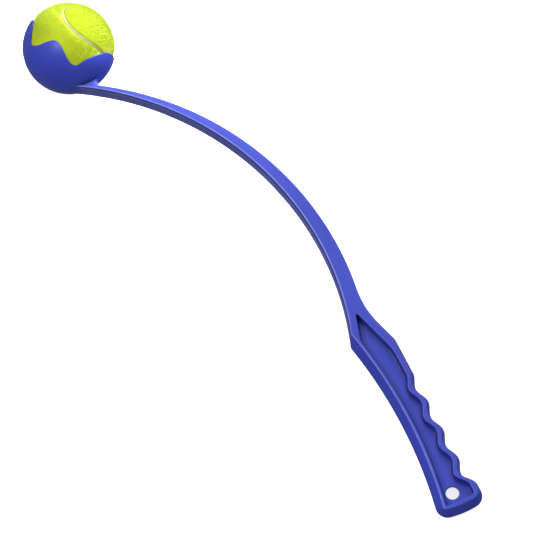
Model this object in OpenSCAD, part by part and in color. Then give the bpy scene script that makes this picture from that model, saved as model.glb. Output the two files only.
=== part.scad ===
// Ball launcher stick for dogs, lying on its side, with its ball in the cup.
// X runs along the handle towards the arm, Y points to the palm side and Z stands on the side face.
// The origin is the middle of the hang hole. Lengths are in millimetres and angles in degrees.

/* [Ball] */
// Diameter of the ball over its felt
ball_d = 65; // [62:0.1:70]
// Thickness of the felt
felt_t = 2.8; // [2:0.1:3.5]
// Wall of the hollow rubber core
core_wall = 3.4; // [2.5:0.1:4.5]
// Width of the seam between the felt panels
seam_w = 2.6; // [1.5:0.1:4]
// How far the seam lies below the felt
seam_drop = 0.7; // [0.3:0.1:1.5]

/* [Cup] */
// Wall of the cup
cup_wall = 1.1; // [1:0.05:3]
// How far the two lips reach past the middle of the ball, degrees
lip_reach = 9.5; // [6:0.5:12]
// Gap between the ball and the cup at the seat, and where the ball passes the lips
ball_gap = 0.3; // [0.2:0.05:1]
// Direction in which the cup opens, degrees from the handle
mouth_angle = -51; // [-70:1:-35]
// Dip of the rim on the tip side, below the middle of the cup
tip_dip = 15.2; // [11:0.1:18]
// Dip of the rim on the arm side, below the middle of the cup
arm_dip = 18.4; // [13:0.1:21]
// Height at which the rim's side bump stays below the middle of the cup
side_bump = 8.4; // [4:0.1:10]

/* [Arm] */
// Radius of the arm's outer curve
arm_bend_r = 230.6; // [215:0.2:250]
// Distance along the handle from the hang hole to the lowest place of the bend
arm_reach = 205; // [195:1:220]
// How far the lowest place of the bend lies to the finger side of the hang hole
arm_drop = 10.6; // [6:0.1:13]
// Depth of the arm at the lowest place of the bend
arm_depth = 10.8; // [9.5:0.1:12]
// How far the inner curve's centre lies towards the cup, which tapers the arm
arm_taper = 6.1; // [5:0.1:7]
// How far the inner curve's centre lies beyond the outer curve's, which fills the middle of the arm
arm_belly = 6.3; // [4:0.1:8]
// Angle through which the arm turns from the lowest place to the cup, degrees
arm_angle = 59.5; // [52:0.1:64]
// Width of the arm and the handle across their side faces
stick_w = 18.5; // [15:0.5:28]
// How far the cup stands proud of the arm's inner side
cup_proud = 2; // [1:0.1:3.5]
// Radius of the fillet between the arm and the cup
cup_fillet_r = 3.6; // [2:0.1:6]

/* [Handle] */
// Distance from the hang hole to the end of the handle, where the arm starts
handle_end = 182; // [178:1:190]
// Radius of the hollow palm side
palm_r = 360; // [300:5:420]
// Distance along the handle from the hang hole to the middle of the palm side
palm_mid = 66; // [55:1:70]
// Distance from the hang hole to the palm side
palm_y = 9.3; // [8.5:0.1:12]
// How far the palm side bulges between the side faces
palm_crown = 5.3; // [3:0.1:6]
// Distance from the hang hole to the finger ridges
finger_y = 16.4; // [14:0.1:18]
// How far the finger side bulges between the side faces
finger_crown = 2.6; // [1:0.1:4]
// Number of finger grooves
groove_count = 4; // [3:1:4]
// Distance from one finger groove to the next
groove_pitch = 24.3; // [22:0.1:25]
// Depth of a finger groove
groove_depth = 3.9; // [2:0.1:5]
// Distance along the handle from the hang hole to the last groove
groove_x = 10; // [8:0.5:12]
// Distance along the handle from the hang hole to the shoulder at the arm's side
shoulder_x = 124; // [121:0.5:128]
// Radius of the rounded shoulder
shoulder_r = 12; // [6:1:20]
// Angle at which the finger side narrows from the shoulder to the arm
neck_angle = 17; // [14:0.5:20]
// Radius of the hollow between the shoulder's slope and the arm
neck_r = 78; // [50:1:90]
// Distance from the hang hole to the butt end
butt_x = 17; // [16:0.1:20]
// How far the furthest place of the butt lies to the finger side of the hang hole
butt_side = 5; // [0:0.5:8]
// Distance from the hang hole to the butt's finger side
butt_y = 19.5; // [18:0.1:21]
// How far the butt end bulges between the side faces
butt_crown = 4.3; // [2:0.1:6]
// Radius of the rounded butt end
butt_round_r = 70; // [50:1:120]
// Radius of the butt's corner on the palm side
butt_palm_r = 9; // [6:0.5:12]
// Radius of the same corner at the side faces
butt_edge_r = 1.7; // [1:0.1:4]
// Radius of the butt's corner on the finger side
butt_finger_r = 9; // [6:0.5:12]

/* [Pocket] */
// Rim on the palm side
palm_wall = 1.9; // [1.4:0.1:3]
// Rim on the finger side
finger_wall = 3.2; // [2:0.1:4]
// Rim at the butt end
butt_wall = 3.2; // [2:0.1:4]
// Rim along the shoulder's slope
neck_wall = 5.5; // [3:0.1:6]
// Rim along the arm's inner side
back_wall = 6; // [4:0.1:7]
// Radius of the pocket's corners
pocket_r = 2; // [1:0.1:2.5]
// Thickness of the web between the two pockets
web_t = 3; // [2:0.1:6]
// Diameter of the hang hole
hang_hole_d = 10; // [6:0.1:12]

/* [Hidden] */
$fn = 96;
// Facets of the arm's long curves
bend_fn = 720;
// Extra length of a cutting shape past the solid that it cuts
past = 1;

// Arm: the outer and the inner curve are two circles with different centres
arm_out_c = [arm_reach, arm_bend_r - arm_drop];
arm_in_c = arm_out_c + [arm_taper, arm_belly];
arm_in_r = arm_bend_r - arm_depth + arm_belly;

// Cup: wide enough for the ball to pass the lips, and carried by the end of the arm
ball_r = ball_d / 2;
cup_in_r = (ball_r + ball_gap) / cos(lip_reach);
cup_out_r = cup_in_r + cup_wall;
cup_ray = arm_angle - 90;
cup_c = arm_in_c + (arm_in_r + cup_out_r - cup_proud) * [cos(cup_ray), sin(cup_ray)];
mouth_dir = [cos(mouth_angle), sin(mouth_angle)];
// How far in the fillet reaches, as a share of the cup's radius
fillet_root = 0.88;
// Points between two knots of the cup's rim
rim_steps = 6;

// Ball: it lies against the seat, opposite the mouth
ball_c = cup_c - (cup_in_r - ball_r - ball_gap) * mouth_dir;
core_r = ball_r - felt_t;
core_in_r = core_r - core_wall;
// How the ball is turned in the cup
ball_turn = [1, 43.3, 43];
// Share of the seam's path that swings to and fro, and the height of the swing that keeps it on the ball
seam_swing = 0.22;
seam_main = 1 - seam_swing;
seam_high = 2 * sqrt(seam_main * seam_swing);
seam_steps = 64;
// Rings of the solid that cuts out a panel, and its size beside the ball's
panel_rings = 3;
panel_reach = 2;

// Handle: the palm side is an arc, and the grooves are a wave along the finger side
stick_half = stick_w / 2;
palm_c = [palm_mid, palm_y + palm_r];
ridge_x = groove_x + (groove_count - 0.5) * groove_pitch;
lobe_x = groove_x - groove_pitch / 2;
// Points on the handle outline: in a groove, on the palm side, in a rounded corner and in a short bend
groove_steps = 10;
palm_steps = 22;
corner_steps = 8;
bend_steps = 5;
// Heights of the handle's cross sections, and the roundness of its ridge, as shares of its half width
levels = [-1.04, -0.7, -0.4, -0.2, 0, 0.2, 0.4, 0.7, 1.04];
ridge_round = 0.3;

function angle_of(v) = atan2(v.y, v.x);
function unit(v) = v / norm(v);
function on_circle(c, r, a) = c + r * [cos(a), sin(a)];
function arc(c, r, from, to, steps) = [for (i = [0:steps]) on_circle(c, r, from + (to - from) * i / steps)];
function open_arc(c, r, from, to, steps) =
    [for (i = [0:steps - 1]) on_circle(c, r, from + (to - from) * i / steps)];

// The crossing of two circles that lies to the right of the line from the first centre to the second
function crossing(c0, r0, c1, r1) =
    let (
        d = norm(c1 - c0),
        dir = unit(c1 - c0),
        along = (d * d + r0 * r0 - r1 * r1) / (2 * d),
        side = sqrt(r0 * r0 - along * along)
    )
    c0 + along * dir + side * [dir.y, -dir.x];

// The angle at which a circle's lower side has the given X
function lower_angle(c, r, x) = -90 + asin((x - c.x) / r);

// Smooth curve through knots of [place, height, slope]
function hermite(a, b, t) =
    let (w = b[0] - a[0], s = 1 - t)
    s * s * (1 + 2 * t) * a[1] + t * t * (3 - 2 * t) * b[1] + s * t * w * (s * a[2] - t * b[2]);
function curve(knots, steps) = concat(
    [for (k = [0:len(knots) - 2], i = [0:steps - 1])
        let (t = i / steps)
        [knots[k][0] + (knots[k + 1][0] - knots[k][0]) * t, hermite(knots[k], knots[k + 1], t)]],
    [[knots[len(knots) - 1][0], knots[len(knots) - 1][1]]]);

// Finger side, as its distance from the hang hole's line at a place along the handle
function wave(x) = (1 + cos(360 * (x - groove_x) / groove_pitch)) / 2;
function finger_side(x) =
    x < lobe_x ? butt_y
    : x < groove_x ? butt_y - (butt_y - finger_y + groove_depth) * wave(x)
    : x < ridge_x ? finger_y - groove_depth * wave(x)
    : finger_y;
function finger_points(inset) =
    [for (i = [0:(groove_count * groove_steps)])
        let (x = lobe_x + i * groove_pitch / groove_steps)
        [x, inset - finger_side(x)]];

// The sides slope evenly from a rounded ridge, half way between the side faces, to the faces
function bow(s) =
    (sqrt(s * s + ridge_round * ridge_round) - ridge_round) / (sqrt(1 + ridge_round * ridge_round) - ridge_round);

// Outline of the handle, where d is 0 at the ridge and 1 at the side faces
function palm_radius(d) = palm_r + palm_crown * d;
function palm_corner(d) = crossing(palm_c, palm_radius(d), arm_in_c, arm_in_r);
function butt_line(d) = butt_crown * d - butt_x;
function butt_palm_radius(d) = butt_palm_r + (butt_edge_r - butt_palm_r) * d;
function butt_finger_radius(d) = butt_finger_r - finger_crown * d;
function butt_centre(d) = [butt_line(d) + butt_round_r, -butt_side];
function butt_palm_centre(d) =
    let (r = butt_palm_radius(d))
    crossing(palm_c, palm_radius(d) + r, butt_centre(d), butt_round_r - r);
function butt_finger_centre(d) =
    let (
        r = butt_finger_radius(d),
        reach = butt_round_r - r,
        y = finger_crown * d - butt_y + r
    )
    [butt_centre(d).x - sqrt(reach * reach - (y + butt_side) * (y + butt_side)), y];
function shoulder(d) = [shoulder_x, finger_crown * d - finger_y];
neck_dir = [cos(neck_angle), sin(neck_angle)];
neck_out = [sin(neck_angle), -cos(neck_angle)];
function neck_centre(d) =
    let (
        start = shoulder(d) + neck_r * neck_out - arm_out_c,
        b = start * neck_dir,
        reach = arm_bend_r + neck_r,
        far = -b - sqrt(b * b - start * start + reach * reach),
        near = -b + sqrt(b * b - start * start + reach * reach)
    )
    arm_out_c + start + (far > 0 ? far : near) * neck_dir;
function handle_outline(d) =
    let (
        corner = palm_corner(d),
        butt = butt_centre(d),
        palm_butt = butt_palm_centre(d),
        finger_butt = butt_finger_centre(d),
        palm_turn = 180 + angle_of(butt - palm_butt),
        finger_turn = 180 + angle_of(butt - finger_butt),
        neck = neck_centre(d),
        round_len = shoulder_r * tan(neck_angle / 2)
    )
    concat(
        open_arc(arm_in_c, arm_in_r, lower_angle(arm_in_c, arm_in_r, handle_end),
                 angle_of(corner - arm_in_c), bend_steps),
        open_arc(palm_c, palm_radius(d), angle_of(corner - palm_c), angle_of(palm_butt - palm_c),
                 palm_steps),
        open_arc(palm_butt, butt_palm_radius(d), angle_of(palm_c - palm_butt), palm_turn, corner_steps),
        open_arc(butt, butt_round_r, palm_turn, finger_turn, bend_steps),
        arc(finger_butt, butt_finger_radius(d), finger_turn, 270, corner_steps),
        finger_points(finger_crown * d),
        arc(shoulder(d) + [-round_len, shoulder_r], shoulder_r, -90, neck_angle - 90, bend_steps),
        open_arc(neck, neck_r, neck_angle + 90, angle_of(arm_out_c - neck), corner_steps),
        arc(arm_out_c, arm_bend_r, angle_of(neck - arm_out_c),
            lower_angle(arm_out_c, arm_bend_r, handle_end), bend_steps)
    );

// Outline of the pocket: the handle's outline at its side faces, drawn in by the rims
pocket_palm_r = palm_r + palm_crown + palm_wall;
pocket_back_r = arm_in_r + back_wall;
pocket_butt_x = butt_crown + butt_wall - butt_x;
pocket_inset = finger_crown + finger_wall;
neck_start = shoulder(1) - neck_wall * neck_out;
pocket_shoulder = [
    neck_start.x + (pocket_inset - finger_y - neck_start.y) / tan(neck_angle), pocket_inset - finger_y];
function pocket_apex() =
    let (
        start = neck_start - arm_in_c,
        b = start * neck_dir
    )
    neck_start - (b + sqrt(b * b - start * start + pocket_back_r * pocket_back_r)) * neck_dir;

module pocket_2d() {
    corner = crossing(palm_c, pocket_palm_r, arm_in_c, pocket_back_r);
    offset(r = pocket_r)
        offset(delta = -pocket_r)
            polygon(concat(
                arc(palm_c, pocket_palm_r, angle_of(corner - palm_c),
                    lower_angle(palm_c, pocket_palm_r, pocket_butt_x), palm_steps),
                [[pocket_butt_x, pocket_inset - butt_y]],
                finger_points(pocket_inset),
                [pocket_shoulder, pocket_apex()]
            ));
}

// Solid through outlines of equal length, one above the other
module loft(sections, heights) {
    n = len(sections[0]);
    top = len(sections) - 1;
    points = [for (k = [0:top], p = sections[k]) [p.x, p.y, heights[k]]];
    sides = [for (k = [0:top - 1], i = [0:n - 1])
        let (a = k * n + i, b = k * n + (i + 1) % n)
        each [[a, a + n, b], [b, a + n, b + n]]];
    ends = [[for (i = [0:n - 1]) i], [for (i = [n - 1:-1:0]) top * n + i]];
    polyhedron(points, concat(sides, ends));
}

module handle_solid() {
    intersection() {
        loft([for (s = levels) handle_outline(bow(s))], stick_half * levels);
        translate([-butt_x - past, -stick_w, -stick_half])
            cube([handle_end + butt_x + 2 * past, 2 * stick_w, stick_w]);
    }
}

module handle_rim() {
    color("royalblue")
        difference() {
            handle_solid();
            linear_extrude(stick_w + 2 * past, center = true) pocket_2d();
        }
}

module handle_web() {
    color("royalblue")
        difference() {
            linear_extrude(web_t, center = true) pocket_2d();
            cylinder(d = hang_hole_d, h = web_t + 2 * past, center = true);
        }
}

// Fillet between the arm's outer curve and the cup, drawn in the plane of the bend.
// It reaches on into the cup's round, so that its sides meet the cup too
module cup_fillet_2d() {
    f = crossing(arm_out_c, arm_bend_r + cup_fillet_r, cup_c, cup_out_r + cup_fillet_r);
    on_arm = f - cup_fillet_r * unit(f - arm_out_c);
    on_cup = f - cup_fillet_r * unit(f - cup_c);
    difference() {
        polygon([
            on_arm, f, on_cup, cup_c + fillet_root * (on_cup - cup_c),
            arm_out_c + arm_bend_r * unit(cup_c - arm_out_c)]);
        translate(f) circle(cup_fillet_r);
    }
}

module arm_2d() {
    far = 2 * arm_bend_r;
    difference() {
        intersection() {
            translate(arm_out_c) circle(arm_bend_r, $fn = bend_fn);
            polygon([
                arm_in_c, on_circle(arm_in_c, far, cup_ray), arm_in_c + [far, -far],
                [handle_end, arm_in_c.y - far], [handle_end, arm_in_c.y]]);
        }
        translate(arm_in_c) circle(arm_in_r, $fn = bend_fn);
    }
    cup_fillet_2d();
}

module throwing_arm() {
    color("royalblue")
        difference() {
            linear_extrude(stick_w, center = true) arm_2d();
            translate(cup_c) sphere(cup_out_r);
        }
}

// Mouth of the cup, cut straight across it: X runs out of the mouth.
// The rim's knots run from the arm side to the tip side, each with its place, its height and its slope
module mouth_2d() {
    lip = sin(lip_reach) * cup_out_r;
    edge = cup_out_r + 2 * past;
    knots = [
        [-edge, lip, 0],
        [-0.95 * cup_out_r, lip, -0.5],
        [-0.62 * cup_out_r, -0.41 * arm_dip, -1.2],
        [-0.5 * cup_out_r, -0.73 * arm_dip, -1.9],
        [-0.33 * cup_out_r, -arm_dip, 0],
        [0.2 * cup_out_r, -side_bump, 0],
        [0.6 * cup_out_r, -tip_dip, 0],
        [0.78 * cup_out_r, -0.52 * tip_dip, 3.9],
        [0.86 * cup_out_r, 0.19 * tip_dip, 2.2],
        [0.92 * cup_out_r, lip, 0.3],
        [edge, lip, 0]
    ];
    rim = curve(knots, rim_steps);
    polygon(concat([for (p = rim) [p[1], p[0]]], [[edge, edge], [edge, -edge]]));
}

module ball_cup() {
    color("royalblue")
        translate(cup_c)
            rotate(mouth_angle)
                difference() {
                    sphere(cup_out_r);
                    sphere(cup_in_r);
                    linear_extrude(3 * cup_out_r, center = true) mouth_2d();
                }
}

module at_ball() {
    translate(ball_c) rotate(ball_turn) children();
}

module half_shell(outer, inner) {
    difference() {
        sphere(outer);
        sphere(inner);
        translate([0, 0, -outer]) cube(2 * outer, center = true);
    }
}

module ball_core_half_a() {
    color("dimgray") at_ball() half_shell(core_r, core_in_r);
}

module ball_core_half_b() {
    color("dimgray") at_ball() rotate([180, 0, 0]) half_shell(core_r, core_in_r);
}

// Path of the seam on a ball of radius 1, its direction, and the panel's edge beside it
function seam_point(t) = [
    seam_main * cos(t) + seam_swing * cos(3 * t),
    seam_main * sin(t) - seam_swing * sin(3 * t),
    seam_high * sin(2 * t)];
function seam_heading(t) = [
    -seam_main * sin(t) - 3 * seam_swing * sin(3 * t),
    seam_main * cos(t) - 3 * seam_swing * cos(3 * t),
    2 * seam_high * cos(2 * t)];
function panel_edge(t) =
    unit(seam_point(t) + seam_w / ball_d * unit(cross(seam_point(t), seam_heading(t))));
// A direction part of the way from the panel's middle to its edge
function panel_dir(t, share) =
    let (e = panel_edge(t), turn = acos(e.z) * share, flat = unit([e.x, e.y]))
    [flat.x * sin(turn), flat.y * sin(turn), cos(turn)];

// Wedge from the middle of the ball out through one panel
module panel_wedge() {
    n = seam_steps;
    reach = panel_reach * ball_r;
    points = concat(
        [[0, 0, 0], [0, 0, reach]],
        [for (j = [1:panel_rings], i = [0:n - 1]) reach * panel_dir(360 * i / n, j / panel_rings)]);
    function at(j, i) = 2 + (j - 1) * n + i % n;
    faces = [for (i = [0:n - 1]) each concat(
        [[1, at(1, i + 1), at(1, i)], [0, at(panel_rings, i), at(panel_rings, i + 1)]],
        [for (j = [1:panel_rings - 1]) each [
            [at(j, i), at(j, i + 1), at(j + 1, i)],
            [at(j, i + 1), at(j + 1, i + 1), at(j + 1, i)]]])];
    polyhedron(points, faces);
}

module felt_panel() {
    intersection() {
        difference() {
            sphere(ball_r);
            sphere(core_r);
        }
        panel_wedge();
    }
}

module felt_panel_a() {
    color("greenyellow") at_ball() felt_panel();
}

module felt_panel_b() {
    color("greenyellow") at_ball() rotate([180, 0, 0]) felt_panel();
}

module felt_seam() {
    color("gainsboro")
        at_ball()
            difference() {
                sphere(ball_r - seam_drop);
                sphere(core_r);
                panel_wedge();
                rotate([180, 0, 0]) panel_wedge();
            }
}

ball_cup();
throwing_arm();
handle_rim();
handle_web();
ball_core_half_a();
ball_core_half_b();
felt_panel_a();
felt_panel_b();
felt_seam();
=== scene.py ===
"""Ball launcher stick for dogs, lying on its side with its felt ball in the cup.

Lengths in the shape functions are millimetres in the part's own frame: X along the handle towards the arm,
Y to the palm side, Z square to the stick's flat sides, with the origin in the middle of the hang hole.
"""

import math

import bmesh
import bpy
import numpy as np
from mathutils import Euler, Matrix, Vector
from mathutils.geometry import delaunay_2d_cdt


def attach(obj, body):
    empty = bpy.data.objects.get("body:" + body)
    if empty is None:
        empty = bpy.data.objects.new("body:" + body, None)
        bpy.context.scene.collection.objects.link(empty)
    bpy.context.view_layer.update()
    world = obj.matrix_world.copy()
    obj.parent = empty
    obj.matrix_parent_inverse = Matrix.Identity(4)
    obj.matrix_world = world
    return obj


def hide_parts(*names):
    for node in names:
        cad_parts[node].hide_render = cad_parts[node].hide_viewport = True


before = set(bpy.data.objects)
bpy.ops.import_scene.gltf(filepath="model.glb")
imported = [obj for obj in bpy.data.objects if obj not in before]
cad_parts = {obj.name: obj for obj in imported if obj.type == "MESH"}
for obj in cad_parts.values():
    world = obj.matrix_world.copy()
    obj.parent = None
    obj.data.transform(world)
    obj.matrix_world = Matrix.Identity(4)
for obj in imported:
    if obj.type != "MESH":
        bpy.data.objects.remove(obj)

bl_info = {
    "name": "Ball Launcher Stick",
    "version": (1, 0, 0),
    "blender": (4, 5, 0),
    "location": "3D View > Sidebar > Launcher",
    "description": "Moulded throwing stick with a napped felt ball in its cup",
    "category": "Object",
}

MM = 0.001

# Sizes shared with the solids
BALL_R = 32.5
FELT_T = 2.8
SEAM_W = 2.6
SEAM_DROP = 0.7
CORE_R = BALL_R - FELT_T
CUP_WALL = 1.1
LIP_REACH = math.radians(9.5)
BALL_GAP = 0.3
MOUTH_ANGLE = math.radians(-51)
TIP_DIP, ARM_DIP, SIDE_BUMP = 15.2, 18.4, 8.4
ARM_BEND_R, ARM_REACH, ARM_DROP, ARM_DEPTH = 230.6, 205.0, 10.6, 10.8
ARM_TAPER, ARM_BELLY = 6.1, 6.3
ARM_ANGLE = math.radians(59.5)
HALF_W = 18.5 / 2
ARM_CROWN = 1.4
CUP_PROUD, CUP_FILLET_R = 2.0, 3.6
PALM_R, PALM_MID, PALM_Y, PALM_CROWN = 360.0, 66.0, 9.3, 5.3
FINGER_Y, FINGER_CROWN = 16.4, 2.6
GROOVES, GROOVE_PITCH, GROOVE_DEPTH, GROOVE_X = 4, 24.3, 3.9, 10.0
SHOULDER_X, SHOULDER_R = 124.0, 12.0
NECK_ANGLE, NECK_R = math.radians(17), 78.0
BUTT_X, BUTT_SIDE, BUTT_Y, BUTT_CROWN = 17.0, 5.0, 19.5, 4.3
BUTT_ROUND_R, BUTT_PALM_R, BUTT_EDGE_R, BUTT_FINGER_R = 70.0, 9.0, 1.7, 9.0
RIDGE_ROUND = 0.3
PALM_WALL, FINGER_WALL, BUTT_WALL, NECK_WALL, BACK_WALL = 1.9, 3.2, 3.2, 5.5, 6.0
HALF_WEB = 1.5
HANG_R = 5.0

ARM_OUT_C = np.array([ARM_REACH, ARM_BEND_R - ARM_DROP])
ARM_IN_C = ARM_OUT_C + [ARM_TAPER, ARM_BELLY]
ARM_IN_R = ARM_BEND_R - ARM_DEPTH + ARM_BELLY
CUP_IN_R = (BALL_R + BALL_GAP) / math.cos(LIP_REACH)
CUP_OUT_R = CUP_IN_R + CUP_WALL
CUP_RAY = ARM_ANGLE - math.pi / 2
CUP_C = ARM_IN_C + (ARM_IN_R + CUP_OUT_R - CUP_PROUD) * np.array([math.cos(CUP_RAY), math.sin(CUP_RAY)])
MOUTH = np.array([math.cos(MOUTH_ANGLE), math.sin(MOUTH_ANGLE)])
ACROSS = np.array([-MOUTH[1], MOUTH[0]])
BALL_C = CUP_C - (CUP_IN_R - BALL_R - BALL_GAP) * MOUTH
BALL_TURN = Euler([math.radians(a) for a in (1, 43.3, 43)], "XYZ").to_matrix()
PALM_C = np.array([PALM_MID, PALM_Y + PALM_R])
RIDGE_X = GROOVE_X + (GROOVES - 0.5) * GROOVE_PITCH
LOBE_X = GROOVE_X - GROOVE_PITCH / 2
NECK_DIR = np.array([math.cos(NECK_ANGLE), math.sin(NECK_ANGLE)])
NECK_OUT = np.array([math.sin(NECK_ANGLE), -math.cos(NECK_ANGLE)])
SEAM_SWING = 0.22
CUP_MID = np.r_[CUP_C, 0.0]

# How the moulding and the felt are finished, and where light and shade are painted on the moulding
HELD_POINTS, INNER_POINTS, POCKET_POINTS = 30, 150, 480
HELD_DEPTH = 0.35  # how far the arm's end goes into the cup's wall
PALM_CORNER = 1.6  # reach of the rounding where the arm meets the palm side
CROWN_RISE = 2.2  # the arm's crown is full once 1 / 2.2 of its points are past
POCKET_CORNERS = (2.6, 2.8, 5.0, 5.0, 4.0)  # reach of the rounding at the end of each side
FLOOR_ROOM, HANG_ROOM = 0.9, 0.6  # flat floor kept inside the pocket's foot and round the hang hole
FACE_STEP, FLOOR_STEP, HANG_ROUND = 0.5, 0.4, 0.3
SIDE_ROWS = (1.0, 0.9, 0.8, 0.68, 0.54, 0.4, 0.22, 0.07)  # rows of points across a side, from its edge
EDGE_RUB, EDGE_HIGHLIGHT_PALM = 0.25, 0.65  # paler edges: rubbed all round, and a painted highlight on those that face the palm side
# Paler edges of the pocket and the hang hole: rubbed, and a painted highlight on the pocket's edges that
# face the palm side
LIP_RUB, LIP_HIGHLIGHT_PALM, HANG_RUB = 0.15, 0.85, 0.1
WALL_SHADE, FLOOR_SHADE, TIGHT_SHADE = 0.25, 0.4, 0.6  # painted shade on the pocket's walls and round its floor crease, deeper where the pocket is narrow
SWELL, SWELL_ROWS = 0.7, 12  # how full the cup's blend is, and the rows over which it ends below the rim
FILLET_FROM, FILLET_OVER = -0.2, 0.17  # bearings over which the blend comes in
# Painted shade on the cup round the arm's joint, and along the rim's inner half beside the ball
CREASE_REACH, CREASE_ALONG, CREASE_POWER, CREASE_DEPTH = 6.0, 2.5, 1.5, 0.95
RIM_SHADE = 0.9
COVER_GAP, COVER_FADE = 0.4, 9.0  # past the rim, where the nap starts to stand up and how soon it is full
PRESSED, THINNED = 0.72, 0.55  # how much shorter and thinner the nap is inside the cup
SEAM_TUCK, SEAM_CROWN = 0.35, 0.2

# Painted light along the arm's inner side, by distance from the middle plane: a painted highlight at the
# edge, a painted shade line under it and a paler painted reflection over the rest. They come in from the
# first place along the handle's line, over the second length.
ARM_PAINTED_LIGHT = ((0.0, 0.3, 0.45, 0.62, 0.72, 0.78, 0.9, 0.945, 0.965, 0.985, 1.0),
             (0.5, 0.5, 0.9, 0.95, 0.3, -0.9, -0.9, -0.8, 0.3, 1.0, 1.0))
BANDS_FROM, BANDS_OVER = 140.0, 40.0

# The photograph's camera: picture right, picture up and towards the camera, and the middle of the picture
VIEW_RIGHT = Vector((-0.454, -0.891, 0.0))
VIEW_UP = Vector((0.8498, -0.4330, 0.3007))
VIEW_BACK = Vector((-0.2679, 0.1365, 0.9537))
PICTURE, PIXEL, VIEW_DEPTH = 540, 0.735 * MM, 0.06
HOLE_RIGHT, HOLE_DOWN = 451.9, 492.55
VIEW_MIDDLE = (VIEW_RIGHT * ((PICTURE / 2 - HOLE_RIGHT) * PIXEL)
               + VIEW_UP * ((HOLE_DOWN - PICTURE / 2) * PIXEL) - VIEW_BACK * VIEW_DEPTH)


class MouldingSizes(bpy.types.PropertyGroup):
    """Roundings and colours of the moulded stick"""

    edge_round: bpy.props.FloatProperty(
        name="Edge rounding", description="Radius along the stick's outer edges",
        default=0.85 * MM, min=0.3 * MM, max=1.6 * MM, subtype="DISTANCE", unit="LENGTH")
    pocket_round: bpy.props.FloatProperty(
        name="Pocket edge", description="Radius along the pocket's edge",
        default=0.55 * MM, min=0.2 * MM, max=0.9 * MM, subtype="DISTANCE", unit="LENGTH")
    pocket_draft: bpy.props.FloatProperty(
        name="Pocket draft", description="How far the pocket's wall leans in on its way down",
        default=0.5 * MM, min=0.0, max=1.5 * MM, subtype="DISTANCE", unit="LENGTH")
    floor_round: bpy.props.FloatProperty(
        name="Floor rounding", description="Radius between the pocket's wall and the web",
        default=1.5 * MM, min=0.4 * MM, max=2.2 * MM, subtype="DISTANCE", unit="LENGTH")
    parting_line: bpy.props.FloatProperty(
        name="Parting line", description="Height of the mould's parting line round the stick",
        default=0.07 * MM, min=0.0, max=0.2 * MM, subtype="DISTANCE", unit="LENGTH")
    cup_blend: bpy.props.FloatProperty(
        name="Cup blend", description="Radius between the cup and the arm",
        default=0.5 * MM, min=0.3 * MM, max=3 * MM, subtype="DISTANCE", unit="LENGTH")
    plastic_colour: bpy.props.FloatVectorProperty(
        name="Plastic", description="Colour of the moulded plastic",
        default=(0.045, 0.070, 0.52), size=3, min=0.0, max=1.0, subtype="COLOR")
    plastic_shade: bpy.props.FloatVectorProperty(
        name="Plastic shade", description="Deeper blue in the plastic's flow marks",
        default=(0.036, 0.056, 0.45), size=3, min=0.0, max=1.0, subtype="COLOR")
    roughness: bpy.props.FloatProperty(
        name="Roughness", description="How satin the plastic is",
        default=0.31, min=0.0, max=1.0, subtype="FACTOR")


class BallSizes(bpy.types.PropertyGroup):
    """Nap and colours of the ball"""

    nap_length: bpy.props.FloatProperty(
        name="Nap length", description="Length of one felt fibre",
        default=2.8 * MM, min=0.3 * MM, max=3 * MM, subtype="DISTANCE", unit="LENGTH")
    nap_thickness: bpy.props.FloatProperty(
        name="Fibre thickness", description="Thickness of one felt fibre at its root",
        default=0.15 * MM, min=0.03 * MM, max=0.3 * MM, subtype="DISTANCE", unit="LENGTH")
    nap_per_mm2: bpy.props.FloatProperty(
        name="Fibres", description="Felt fibres on a square millimetre",
        default=3.8, min=0.0, max=5.0)
    felt_roll: bpy.props.FloatProperty(
        name="Rolled edge", description="Radius of the felt's edge beside the seam",
        default=1.2 * MM, min=0.4 * MM, max=2 * MM, subtype="DISTANCE", unit="LENGTH")
    felt_colour: bpy.props.FloatVectorProperty(
        name="Felt", description="Colour of the felt",
        default=(0.57, 0.67, 0.023), size=3, min=0.0, max=1.0, subtype="COLOR")
    felt_shade: bpy.props.FloatVectorProperty(
        name="Felt shade", description="Deeper colour between the fibres",
        default=(0.42, 0.52, 0.01), size=3, min=0.0, max=1.0, subtype="COLOR")
    seam_colour: bpy.props.FloatVectorProperty(
        name="Seam", description="Colour of the seam",
        default=(0.56, 0.55, 0.33), size=3, min=0.0, max=1.0, subtype="COLOR")


class StageSizes(bpy.types.PropertyGroup):
    """Light, floor and camera"""

    key_power: bpy.props.FloatProperty(
        name="Key light", description="Power of the soft light above the ball",
        default=0.5, min=0.0, unit="POWER")
    top_power: bpy.props.FloatProperty(
        name="Top light", description="Power of the large soft light over the stick",
        default=9.0, min=0.0, unit="POWER")
    accent_power: bpy.props.FloatProperty(
        name="Accent light", description="Power of the small light that draws the edges' highlights",
        default=10.0, min=0.0, unit="POWER")
    sky: bpy.props.FloatProperty(
        name="Surrounding light", description="Strength of the wide even light from the front and above",
        default=0.78, min=0.0)
    floor_colour: bpy.props.FloatVectorProperty(
        name="Floor", description="Colour of the pale floor",
        default=(0.93, 0.93, 0.93), size=3, min=0.0, max=1.0, subtype="COLOR")
    floor_glow: bpy.props.FloatProperty(
        name="Floor glow", description="Light that comes up through the floor, as on a light table",
        default=0.75, min=0.0)
    lens: bpy.props.FloatProperty(
        name="Lens", description="Focal length in millimetres; a long one keeps the outlines parallel",
        default=1500.0, min=50.0, max=2000.0)


# Plane curves


def angle_of(v):
    return math.atan2(v[1], v[0])


def unit(v):
    return np.asarray(v) / np.linalg.norm(v)


def units(rows):
    """Each row scaled to length 1."""
    return rows / np.linalg.norm(rows, axis=1)[:, None]


def eased(t):
    """A share from 0 to 1 that starts and ends softly."""
    return t * t * (3 - 2 * t)


def full_turn(n):
    """n angles evenly round a circle."""
    return np.linspace(0, 2 * math.pi, n + 1)[:-1]


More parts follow.
